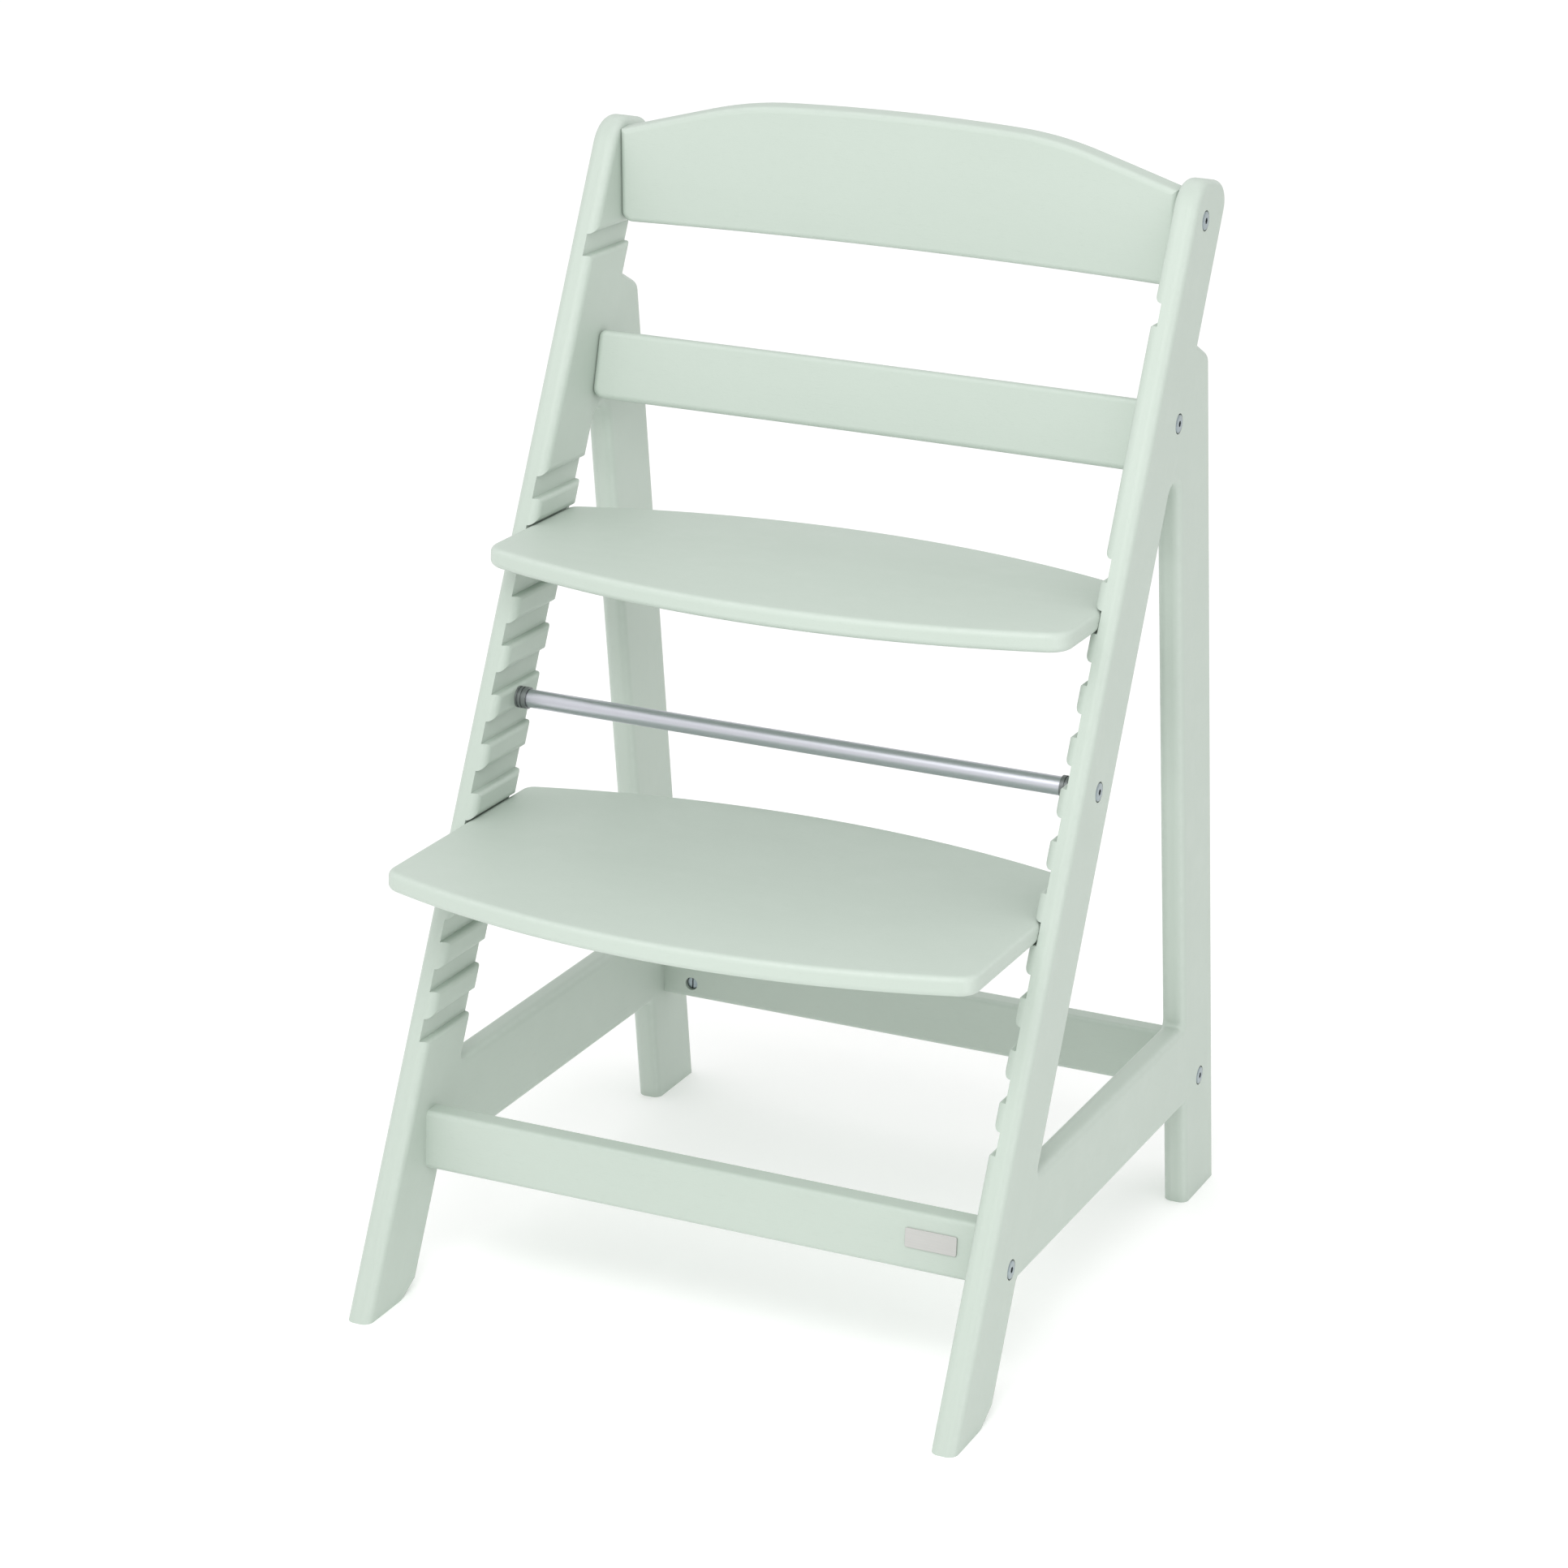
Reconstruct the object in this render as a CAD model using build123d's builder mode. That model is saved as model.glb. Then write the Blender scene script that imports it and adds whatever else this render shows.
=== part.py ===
"""Stair high chair for a child: two glued side frames, cross pieces, and two plates that slide in grooves.

Frame: +X is the right as seen from the front, -Y is the front, +Z is up, the floor is Z = 0, and the origin
is the middle of the chair's footprint. Lengths are millimetres and angles are degrees.
"""

import os
from math import cos, radians, sin, sqrt, tan

from build123d import *

os.makedirs("parts", exist_ok=True)

# ---------------------------------------------------------------- driving dimensions
chair_width = 450.0
timber = 18.0  # thickness of the rails, legs, side boards, crossbars and slats
edge_round = 6.5  # round-over along the edges of the side frames
bar_round = 4.0  # round-over along the edges of slats and crossbars

rail_lean = 24.25  # backward lean of the grooved rails from the vertical
rail_width = 62.5
rail_foot_y = -260.0  # front corner of a rail's foot on the floor
rail_head_z = 786.8  # front corner of a rail's head, before it is rounded
head_fall = 12.0  # how much lower the head's rear corner is
foot_clip_run, foot_clip_rise = 10.0, 6.5  # corner cut off behind each rail's foot

leg_lean = 12.0  # forward lean of the rear legs from the vertical
leg_width = 65.0
leg_foot_y = 209.5  # front corner of a rear leg's foot on the floor
leg_top_z = 671.0  # where the leg's top cut leaves the rail

side_board_low, side_board_high = 84.0, 150.0
head_front_round, head_back_round = 26.0, 17.0
leg_shoulder_round, crotch_round, inner_corner_round = 10.0, 12.0, 3.0

crossbar_low, crossbar_high = 86.5, 129.5
front_crossbar_y, rear_crossbar_y = -169.4, 222.5  # middle of each crossbar's thickness
crossbar_bolt_z, crossbar_dowel_z = 98.0, 118.0

slot_pitch = 32.0  # height from one groove to the next
lowest_slot = 180.0  # floor of the lowest groove
slot_count = 12
head_slot = 692.0  # floor of the single groove below the top slat
slot_height, slot_depth = 14.6, 6.0
tooth_round = 5.6  # round-over under each tooth
mouth_round = 3.2  # round-over at the front of each groove's floor

plate_thickness = 14.0
plate_gap = 0.3  # clearance of a plate in its groove
plate_round = 4.5
seat_corner, foot_corner, plate_back_corner = 20.0, 16.0, 11.0
front_edge_radius = 550.0
seat_slot, seat_front_y, seat_back_y, seat_back_radius = 500.0, -134.5, 86.0, 511.0
foot_slot, foot_front_y, foot_back_y, foot_back_radius = 308.0, -276.0, 17.0, 600.0

rod_y, rod_z = -46.5, 395.3
rod_diameter, rod_bore, rod_end_gap = 13.0, 9.0, 1.0
collar_diameter, collar_length, collar_ring, collar_ring_depth = 15.5, 8.0, 1.2, 0.6
collar_rings = (2.4, 5.2)  # how far from the rail each ring is cut
insert_length = 22.0

middle_slat_lean, middle_slat_width, middle_slat_bow = 12.0, 48.6, 18.0
middle_slat_low_corner, middle_slat_high_corner = 8.0, 5.0
middle_bolt_y, middle_bolt_z, middle_bolt_rise, middle_bolt_setback = 76.0, 622.0, 35.4, 11.5

top_slat_lean, top_slat_bow = -5.0, 12.0
top_slat_end, top_slat_peak = 67.0, 94.5  # height of the slat at its ends and in the middle
top_slat_shoulder_x, top_slat_shoulder = 116.0, 91.5  # where the crown turns down
top_slat_shoulder_round, top_slat_low_corner = 260.0, 8.0
top_bolt_y, top_bolt_z, top_bolt_rise, top_bolt_setback = 106.0, 756.0, 46.3, 10.0

bolt_diameter, bolt_length = 6.0, 44.0  # length under the head
head_diameter, head_height, head_dome, head_recess = 13.0, 2.8, 1.2, 2.3
socket_width, socket_depth = 4.0, 2.0
shank_gap, recess_gap = 0.25, 0.7  # radial clearances of a bolt in the timber
nut_diameter, nut_length, nut_setback = 10.0, 12.0, 23.0
nut_bore, nut_slot, nut_slot_depth, nut_chamfer = 6.1, 1.2, 1.0, 0.6
dowel_diameter, dowel_length, dowel_in_rail, dowel_drop = 8.0, 30.0, 12.0, 18.0
dowel_chamfer, dowel_end_gap = 0.8, 0.5
fit_gap = 0.05  # radial clearance of nuts and dowels in their bores
bolt_bore = bolt_diameter + 2 * shank_gap
bolt_tip_gap = 2.0
dowel_bore = dowel_diameter + 2 * fit_gap

badge_width, badge_height, badge_thickness, badge_corner = 37.0, 14.0, 1.2, 1.5
badge_x, badge_z = 171.0, 110.5
badge_edge_round = 0.4

# ---------------------------------------------------------------- worked-out sizes
half_width = chair_width / 2
half_gap = half_width - timber  # from the middle plane to a rail's inner face
middle_of_frame = half_width - timber / 2
rail_slope, leg_slope = tan(radians(rail_lean)), tan(radians(leg_lean))
rail_run = rail_width / cos(radians(rail_lean))  # a rail's width measured level
leg_run = leg_width / cos(radians(leg_lean))
slots = [lowest_slot + slot_pitch * step for step in range(slot_count)] + [head_slot]
reach = 600.0  # length of cutters that only have to pass right through a piece
overlap = timber  # how far the outlines of glued pieces run into each other
cut_past = 1.0  # how far a cutter runs past the face that it opens
rim_limit = 0.9  # an edge nearer than this to the thickness direction runs through the slat
sole_level = 0.1  # edges lower than this lie on the floor and stay square


def rail_front(z):
    """Y of the rail's front edge at height z."""
    return rail_foot_y + z * rail_slope


def rail_back(z):
    """Y of the rail's rear edge at height z."""
    return rail_front(z) + rail_run


def leg_front(z):
    """Y of the leg's front edge at height z."""
    return leg_foot_y - z * leg_slope


def leg_back(z):
    """Y of the leg's rear edge at height z."""
    return leg_front(z) + leg_run


head_back_z = rail_head_z - head_fall
crotch_z = (leg_foot_y - rail_back(0)) / (rail_slope + leg_slope)  # where leg and rail edges meet
shoulder_run = (leg_back(leg_top_z) - rail_back(leg_top_z)) / (1 - leg_slope * rail_slope)
shoulder_y, shoulder_z = rail_back(leg_top_z) + shoulder_run, leg_top_z - shoulder_run * rail_slope

# The glue planes of a side frame face the rear.
rail_normal = (0, cos(radians(rail_lean)), -sin(radians(rail_lean)))
leg_normal = (0, cos(radians(leg_lean)), sin(radians(leg_lean)))
rail_joint = Plane(origin=(0, rail_back(0), 0), x_dir=(1, 0, 0), z_dir=rail_normal)
leg_joint = Plane(origin=(0, leg_front(0), 0), x_dir=(1, 0, 0), z_dir=leg_normal)


# ---------------------------------------------------------------- shared shapes
def finish(part, name):
    """Label a finished piece and write it as its own STEP file."""
    part.label = name
    export_step(part, f"parts/{name}.step")


def both_sides(part):
    """The piece and its mirror image across the chair's middle plane, as two solids."""
    mirrored = mirror(part, about=Plane.YZ, mode=Mode.PRIVATE)
    return Compound(children=[*part.solids(), *mirrored.solids()])


def cross_pin(y, z, start, length, diameter):
    """A cylinder along X that starts at X = start, as a pin or as a cutter."""
    blank = Cylinder(
        diameter / 2, length, align=(Align.CENTER, Align.CENTER, Align.MIN), mode=Mode.PRIVATE
    )
    return Location((start, y, z), (0, 90, 0)) * blank


def glue_pin(point, normal, length, diameter):
    """A cylinder centred on a point of a glue plane, along the plane's normal."""
    blank = Cylinder(diameter / 2, length, mode=Mode.PRIVATE)
    return Plane(origin=point, z_dir=normal).location * blank


def round_corner(sketch, y, z, radius):
    """Round the corner of an outline that lies nearest to (y, z)."""
    fillet(sketch.vertices().sort_by_distance((y, z, 0))[0], radius)


class EndJoint:
    """How both ends of a cross piece are held: a bolt into a barrel nut, and a dowel beside it."""

    def __init__(self, bolt_y, bolt_z, lean, dowel_along, nut_from_back=True):
        self.lean = lean
        self.bolt = (bolt_y, bolt_z)
        self.dowel = (
            bolt_y + dowel_along * sin(radians(lean)),
            bolt_z + dowel_along * cos(radians(lean)),
        )
        self.thickness_dir = (0, cos(radians(lean)), -sin(radians(lean)))
        self.nut_from_back = nut_from_back

    def rail_bores(self):
        """Cutters for the bolt, its head and the dowel in the +X upright."""
        return [
            cross_pin(*self.bolt, half_gap - cut_past, timber + 2 * cut_past, bolt_bore),
            cross_pin(*self.bolt, half_width - head_recess, timber, head_diameter + 2 * recess_gap),
            cross_pin(*self.dowel, half_gap - cut_past, dowel_in_rail + dowel_end_gap + cut_past, dowel_bore),
        ]

    def end_bores(self):
        """Cutters for bolt, dowel and barrel nut in the +X end of the cross piece."""
        bolt_bore_start = half_width - head_recess - bolt_length - bolt_tip_gap
        dowel_bore_start = half_gap + dowel_in_rail - dowel_length - dowel_end_gap
        side = 1 if self.nut_from_back else -1
        depth = nut_length / 2 + timber
        middle = ((depth - nut_length) / 2 - fit_gap) * side
        y, z = self.bolt
        nut_centre = (
            half_gap - nut_setback,
            y + middle * self.thickness_dir[1],
            z + middle * self.thickness_dir[2],
        )
        return [
            cross_pin(*self.bolt, bolt_bore_start, half_gap + cut_past - bolt_bore_start, bolt_bore),
            cross_pin(*self.dowel, dowel_bore_start, half_gap + cut_past - dowel_bore_start, dowel_bore),
            glue_pin(nut_centre, self.thickness_dir, depth, nut_diameter + 2 * fit_gap),
        ]


top_joint = EndJoint(top_bolt_y, top_bolt_z, top_slat_lean, -dowel_drop)
middle_joint = EndJoint(middle_bolt_y, middle_bolt_z, middle_slat_lean, -dowel_drop)
crossbar_dowel_rise = crossbar_dowel_z - crossbar_bolt_z
front_joint = EndJoint(front_crossbar_y, crossbar_bolt_z, 0, crossbar_dowel_rise)
rod_joint = EndJoint(rod_y, rod_z, 0, 0)
rear_joint = EndJoint(rear_crossbar_y, crossbar_bolt_z, 0, crossbar_dowel_rise, nut_from_back=False)

# Dowels in the glue planes: heights on the rail's rear edge and on the leg's front edge.
board_dowel_heights = (100.0, 134.0)
head_dowel_heights = (628.0, 654.0)
rail_glue_points = [
    ((middle_of_frame, rail_back(z), z), rail_normal) for z in board_dowel_heights + head_dowel_heights
]
leg_glue_points = [((middle_of_frame, leg_front(z), z), leg_normal) for z in board_dowel_heights]
glue_bores = [
    glue_pin(point, normal, dowel_length + 2 * dowel_end_gap, dowel_bore)
    for point, normal in rail_glue_points + leg_glue_points
]

# ---------------------------------------------------------------- side frames
# The frame is glued up from rail, leg and side board, then its edges are rounded in one pass.
with BuildPart() as side_blank:
    with BuildSketch(Plane.YZ.offset(half_gap)) as side_outline:
        with BuildLine():
            Polyline(
                (rail_front(0), 0),
                (rail_front(rail_head_z), rail_head_z),
                (rail_back(head_back_z), head_back_z),
                (rail_back(foot_clip_rise), foot_clip_rise),
                (rail_back(0) - foot_clip_run, 0),
                close=True,
            )
        make_face()
        with BuildLine():
            Polyline(
                (leg_front(0), 0),
                (leg_back(0), 0),
                (shoulder_y, shoulder_z),
                (rail_back(leg_top_z), leg_top_z),
                (rail_back(leg_top_z) - overlap, leg_top_z - overlap),
                (leg_front(crotch_z + overlap), crotch_z + overlap),
                close=True,
            )
        make_face()
        with BuildLine():
            Polyline(
                (rail_back(side_board_low) - overlap, side_board_low),
                (leg_front(side_board_low) + overlap, side_board_low),
                (leg_front(side_board_high) + overlap, side_board_high),
                (rail_back(side_board_high) - overlap, side_board_high),
                close=True,
            )
        make_face()
        round_corner(side_outline, rail_front(rail_head_z), rail_head_z, head_front_round)
        round_corner(side_outline, rail_back(head_back_z), head_back_z, head_back_round)
        round_corner(side_outline, shoulder_y, shoulder_z, leg_shoulder_round)
        round_corner(side_outline, rail_back(crotch_z), crotch_z, crotch_round)
        for height in (side_board_low, side_board_high):
            round_corner(side_outline, rail_back(height), height, inner_corner_round)
            round_corner(side_outline, leg_front(height), height, inner_corner_round)
    extrude(amount=timber)
    rims = side_blank.faces().filter_by(Axis.X).edges()
    fillet(rims.filter_by(lambda rim: rim.center().Z > sole_level), edge_round)

# A groove's outline: a level floor with a softened mouth, and a rounded tooth above the opening.
with BuildSketch(Plane.XZ) as slot_outline:
    with BuildLine():
        slot_corner = (half_gap + tooth_round, slot_height)
        tooth_start = (half_gap, slot_height + tooth_round)
        slot_mouth = half_gap - cut_past
        slot_back = half_gap + slot_depth
        mouth_start, mouth_end = (half_gap, -mouth_round), (half_gap + mouth_round, 0)
        RadiusArc(mouth_start, mouth_end, mouth_round)
        Polyline(mouth_end, (slot_back, 0), (slot_back, slot_height), slot_corner)
        RadiusArc(slot_corner, tooth_start, tooth_round)
        Polyline(
            tooth_start,
            (slot_mouth, slot_height + tooth_round),
            (slot_mouth, -mouth_round),
            mouth_start,
        )
    make_face()

with BuildPart() as slot_cutters:
    for slot in slots:
        with BuildSketch(Plane(origin=(0, 0, slot), x_dir=(1, 0, 0), z_dir=(0, -1, 0))):
            add(slot_outline.sketch_local)
        extrude(amount=reach, both=True)

with BuildPart() as right_rail:
    add(side_blank.part)
    split(bisect_by=rail_joint, keep=Keep.BOTTOM)
    add(slot_cutters.part, mode=Mode.SUBTRACT)
    for joint in (top_joint, middle_joint, front_joint):
        add(joint.rail_bores(), mode=Mode.SUBTRACT)
    add(rod_joint.rail_bores()[:2], mode=Mode.SUBTRACT)
    add(glue_bores, mode=Mode.SUBTRACT)

with BuildPart() as right_side_board:
    add(side_blank.part)
    split(bisect_by=rail_joint, keep=Keep.TOP)
    split(bisect_by=leg_joint, keep=Keep.BOTTOM)
    split(bisect_by=Plane.XY.offset(2 * side_board_high), keep=Keep.BOTTOM)

with BuildPart() as right_rear_leg:
    add(side_blank.part)
    split(bisect_by=rail_joint, keep=Keep.TOP)
    add(right_side_board.part, mode=Mode.SUBTRACT)
    add(rear_joint.rail_bores(), mode=Mode.SUBTRACT)
    add(glue_bores, mode=Mode.SUBTRACT)

with BuildPart() as right_side_board_bored:
    add(right_side_board.part)
    add(glue_bores, mode=Mode.SUBTRACT)

for name, piece in (
    ("rail", right_rail),
    ("rear_leg", right_rear_leg),
    ("side_board", right_side_board_bored),
):
    finish(piece.part, f"right_{name}")
    finish(mirror(piece.part, about=Plane.YZ), f"left_{name}")

# ---------------------------------------------------------------- crossbars
for name, y, joint in (
    ("front_crossbar", front_crossbar_y, front_joint),
    ("rear_crossbar", rear_crossbar_y, rear_joint),
):
    with BuildPart() as crossbar:
        with BuildSketch(Plane.YZ.offset(-half_gap)):
            with Locations((y, (crossbar_low + crossbar_high) / 2)):
                Rectangle(timber, crossbar_high - crossbar_low)
        extrude(amount=2 * half_gap)
        fillet(crossbar.edges().filter_by(Axis.X), bar_round)
        add(both_sides(Compound(children=joint.end_bores())), mode=Mode.SUBTRACT)
    finish(crossbar.part, name)


# ---------------------------------------------------------------- back slats
def slat_planes(joint, rise, setback):
    """Plan plane at a slat's lower edge, and elevation plane on the front of its ends."""
    up = Vector(0, sin(radians(joint.lean)), cos(radians(joint.lean)))
    back = Vector(*joint.thickness_dir)
    corner = Vector(0, *joint.bolt) - back * setback - up * rise
    plan = Plane(origin=corner, x_dir=(1, 0, 0), z_dir=up)
    elevation = Plane(origin=corner, x_dir=(1, 0, 0), z_dir=back * -1)
    return plan, elevation


def bent_band(bow):
    """Plan outline of a slat that is bent to the rear by bow in its middle."""
    radius = (half_gap**2 + bow**2) / (2 * bow)
    back_radius = radius + timber
    end_back = bow - radius + sqrt(back_radius**2 - half_gap**2)
    ThreePointArc((-half_gap, 0), (0, bow), (half_gap, 0))
    Line((half_gap, 0), (half_gap, end_back))
    ThreePointArc((half_gap, end_back), (0, bow + timber), (-half_gap, end_back))
    Line((-half_gap, end_back), (-half_gap, 0))


def slat_rims(part, joint):
    """The edges round a slat's front and rear faces, without those that run through its thickness."""
    through = Vector(*joint.thickness_dir)
    return part.edges().filter_by(
        lambda edge: abs((edge @ 1 - edge @ 0).normalized().dot(through)) < rim_limit
    )


plan, elevation = slat_planes(middle_joint, middle_bolt_rise, middle_bolt_setback)
with BuildPart() as middle_slat:
    with BuildSketch(plan):
        with BuildLine():
            bent_band(middle_slat_bow)
        make_face()
    extrude(amount=middle_slat_width)
    with BuildSketch(elevation) as slat_outline:
        Rectangle(2 * half_gap, middle_slat_width, align=(Align.CENTER, Align.MIN))
        low_corners = slat_outline.vertices().group_by(Axis.Y)[0]
        fillet(low_corners, middle_slat_low_corner)
        high_corners = slat_outline.vertices().group_by(Axis.Y)[-1]
        fillet(high_corners, middle_slat_high_corner)
    extrude(amount=reach, both=True, mode=Mode.INTERSECT)
    fillet(slat_rims(middle_slat, middle_joint), bar_round)
    add(both_sides(Compound(children=middle_joint.end_bores())), mode=Mode.SUBTRACT)
finish(middle_slat.part, "middle_back_slat")

plan, elevation = slat_planes(top_joint, top_bolt_rise, top_bolt_setback)
with BuildPart() as top_slat:
    with BuildSketch(plan):
        with BuildLine():
            bent_band(top_slat_bow)
        make_face()
    extrude(amount=top_slat_peak + cut_past)
    with BuildSketch(elevation) as slat_outline:
        with BuildLine():
            shoulder = (top_slat_shoulder_x, top_slat_shoulder)
            far_shoulder = (-top_slat_shoulder_x, top_slat_shoulder)
            Polyline(
                far_shoulder,
                (-half_gap, top_slat_end),
                (-half_gap, 0),
                (half_gap, 0),
                (half_gap, top_slat_end),
                shoulder,
            )
            ThreePointArc(shoulder, (0, top_slat_peak), far_shoulder)
        make_face()
        round_corner(slat_outline, *shoulder, top_slat_shoulder_round)
        round_corner(slat_outline, *far_shoulder, top_slat_shoulder_round)
        fillet(slat_outline.vertices().group_by(Axis.Y)[0], top_slat_low_corner)
    extrude(amount=reach, both=True, mode=Mode.INTERSECT)
    fillet(slat_rims(top_slat, top_joint), bar_round)
    add(both_sides(Compound(children=top_joint.end_bores())), mode=Mode.SUBTRACT)
finish(top_slat.part, "top_back_slat")


# ---------------------------------------------------------------- seat and foot plates
def plate_outline(front_y, back_y, back_radius):
    """Outline of a plate: bowed front and rear edges, and ends that lie in the grooves."""
    end_x = half_gap + slot_depth - plate_gap
    front_end = front_y + front_edge_radius - sqrt(front_edge_radius**2 - end_x**2)
    back_end = back_y - back_radius + sqrt(back_radius**2 - end_x**2)
    ThreePointArc((-end_x, front_end), (0, front_y), (end_x, front_end))
    Line((end_x, front_end), (end_x, back_end))
    ThreePointArc((end_x, back_end), (0, back_y), (-end_x, back_end))
    Line((-end_x, back_end), (-end_x, front_end))


for name, slot, front_y, back_y, back_radius, front_corner in (
    ("seat_plate", seat_slot, seat_front_y, seat_back_y, seat_back_radius, seat_corner),
    ("foot_plate", foot_slot, foot_front_y, foot_back_y, foot_back_radius, foot_corner),
):
    with BuildPart() as plate:
        with BuildSketch(Plane.XY.offset(slot + plate_gap)) as plate_sketch:
            with BuildLine():
                plate_outline(front_y, back_y, back_radius)
            make_face()
            fillet(plate_sketch.vertices().group_by(Axis.Y)[0], front_corner)
            fillet(plate_sketch.vertices().group_by(Axis.Y)[-1], plate_back_corner)
        extrude(amount=plate_thickness)
        fillet(plate.faces().filter_by(Axis.Z).edges(), plate_round)
    finish(plate.part, name)

# ---------------------------------------------------------------- tie rod
with BuildPart() as tie_rod:
    with BuildSketch(Plane.YZ.offset(-half_gap + rod_end_gap)):
        with Locations((rod_y, rod_z)):
            Circle(rod_diameter / 2)
            Circle(rod_bore / 2, mode=Mode.SUBTRACT)
    extrude(amount=2 * (half_gap - rod_end_gap))
finish(tie_rod.part, "tie_rod")

with BuildPart() as insert:
    with BuildSketch(Plane.YZ.offset(half_gap - rod_end_gap)):
        with Locations((rod_y, rod_z)):
            Circle(rod_bore / 2 - fit_gap)
            Circle(nut_bore / 2, mode=Mode.SUBTRACT)
    extrude(amount=-insert_length)
finish(both_sides(insert.part), "tie_rod_inserts")

with BuildPart() as collar:
    with BuildSketch(Plane.YZ.offset(half_gap - collar_length)):
        with Locations((rod_y, rod_z)):
            Circle(collar_diameter / 2)
            Circle(rod_diameter / 2 + fit_gap, mode=Mode.SUBTRACT)
    extrude(amount=collar_length)
    for ring in collar_rings:
        with BuildSketch(Plane.YZ.offset(half_gap - ring)):
            with Locations((rod_y, rod_z)):
                Circle(collar_diameter / 2 + cut_past)
                Circle(collar_diameter / 2 - collar_ring_depth, mode=Mode.SUBTRACT)
        extrude(amount=collar_ring, mode=Mode.SUBTRACT)
finish(both_sides(collar.part), "tie_rod_collars")

# ---------------------------------------------------------------- bolts, barrel nuts and dowels
with BuildPart() as bolt:
    with BuildSketch(Plane.YZ):
        Circle(head_diameter / 2)
    extrude(amount=head_height)
    fillet(bolt.edges().sort_by(Axis.X)[-1], head_dome)
    with BuildSketch(Plane.YZ.offset(head_height)):
        RegularPolygon(socket_width / 2, 6, major_radius=False)
    extrude(amount=-socket_depth, mode=Mode.SUBTRACT)
    with BuildSketch(Plane.YZ):
        Circle(bolt_diameter / 2)
    extrude(amount=-bolt_length)

with BuildPart() as barrel_nut:
    with BuildSketch(Plane.XY.offset(-nut_length / 2)):
        Circle(nut_diameter / 2)
    extrude(amount=nut_length)
    chamfer(barrel_nut.edges().filter_by(GeomType.CIRCLE), nut_chamfer)
    with BuildSketch(Plane.YZ.offset(-nut_diameter)):
        Circle(nut_bore / 2)
    extrude(amount=2 * nut_diameter, mode=Mode.SUBTRACT)
    for end, inward in ((nut_length / 2, -1), (-nut_length / 2, 1)):
        with BuildSketch(Plane.XY.offset(end)):
            Rectangle(nut_slot, nut_diameter)
        extrude(amount=inward * nut_slot_depth, mode=Mode.SUBTRACT)

with BuildPart() as dowel:
    with BuildSketch(Plane.XY.offset(-dowel_length / 2)):
        Circle(dowel_diameter / 2)
    extrude(amount=dowel_length)
    chamfer(dowel.edges().filter_by(GeomType.CIRCLE), dowel_chamfer)

bolt_seat_x = half_width - head_recess
dowel_middle_x = half_gap + dowel_in_rail - dowel_length / 2
for name, joint in (
    ("top_slat", top_joint),
    ("middle_slat", middle_joint),
    ("front_crossbar", front_joint),
    ("rear_crossbar", rear_joint),
    ("tie_rod", rod_joint),
):
    placed_bolt = Location((bolt_seat_x, *joint.bolt)) * bolt.part
    finish(both_sides(placed_bolt), f"{name}_bolts")
    if joint is rod_joint:
        continue
    nut_place = Plane(
        origin=(half_gap - nut_setback, *joint.bolt), x_dir=(1, 0, 0), z_dir=joint.thickness_dir
    )
    finish(both_sides(nut_place.location * barrel_nut.part), f"{name}_barrel_nuts")
    placed_dowel = Location((dowel_middle_x, *joint.dowel), (0, 90, 0)) * dowel.part
    finish(both_sides(placed_dowel), f"{name}_dowels")

frame_dowels = Compound(
    children=[
        Plane(origin=point, z_dir=normal).location * dowel.part
        for point, normal in rail_glue_points + leg_glue_points
    ]
)
finish(frame_dowels, "right_frame_dowels")
finish(mirror(frame_dowels, about=Plane.YZ), "left_frame_dowels")

# ---------------------------------------------------------------- badge
with BuildPart() as badge:
    with BuildSketch(Plane.XZ.offset(timber / 2 - front_crossbar_y)):
        with Locations((badge_x, badge_z)):
            RectangleRounded(badge_width, badge_height, badge_corner)
    extrude(amount=badge_thickness)
    fillet(badge.faces().sort_by(Axis.Y)[0].edges(), badge_edge_round)
finish(badge.part, "badge")
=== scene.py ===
"""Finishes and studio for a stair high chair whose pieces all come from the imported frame.

The chair stands on Z = 0, +X is its right seen from the front, and -Y is its front. Lengths are metres.
"""

import logging
import math
from dataclasses import dataclass
from enum import Enum

import bpy
from mathutils import Matrix, Vector


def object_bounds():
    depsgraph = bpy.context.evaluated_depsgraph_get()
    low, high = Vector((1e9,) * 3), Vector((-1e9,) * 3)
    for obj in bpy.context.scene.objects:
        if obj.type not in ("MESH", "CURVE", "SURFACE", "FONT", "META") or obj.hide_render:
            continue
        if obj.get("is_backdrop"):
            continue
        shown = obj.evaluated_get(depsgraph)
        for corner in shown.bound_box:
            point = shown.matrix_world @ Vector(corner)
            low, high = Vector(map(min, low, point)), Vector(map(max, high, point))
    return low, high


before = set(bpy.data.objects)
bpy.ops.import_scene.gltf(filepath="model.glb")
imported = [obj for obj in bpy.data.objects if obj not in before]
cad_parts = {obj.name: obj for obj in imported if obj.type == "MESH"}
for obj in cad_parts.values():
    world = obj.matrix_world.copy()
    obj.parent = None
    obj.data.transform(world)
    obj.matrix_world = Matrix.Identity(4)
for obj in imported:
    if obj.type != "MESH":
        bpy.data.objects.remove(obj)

LOG = logging.getLogger("high_chair")
SIDES = ("left", "right")

Colour = tuple[float, float, float]
Point = tuple[float, float, float]
Source = bpy.types.NodeSocket | float | Point

WHITE: Colour = (1.0, 1.0, 1.0)

# A Mix node's sockets have the same names for every kind of value, so its colour ones go by place.
MIX_SHARE, MIX_FIRST, MIX_SECOND, MIX_RESULT = 0, 6, 7, 2


class Grain(Enum):
    """How a board's fibres run: its lean from the vertical in degrees, and the axis they follow."""

    RAIL = (24.25, "Z")
    LEG = (-12.0, "Z")
    DEPTH = (0.0, "Y")
    WIDTH = (0.0, "X")


class Socket(Enum):
    """Kinds of socket on a node group."""

    VALUE = "NodeSocketFloat"
    VECTOR = "NodeSocketVector"


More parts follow.
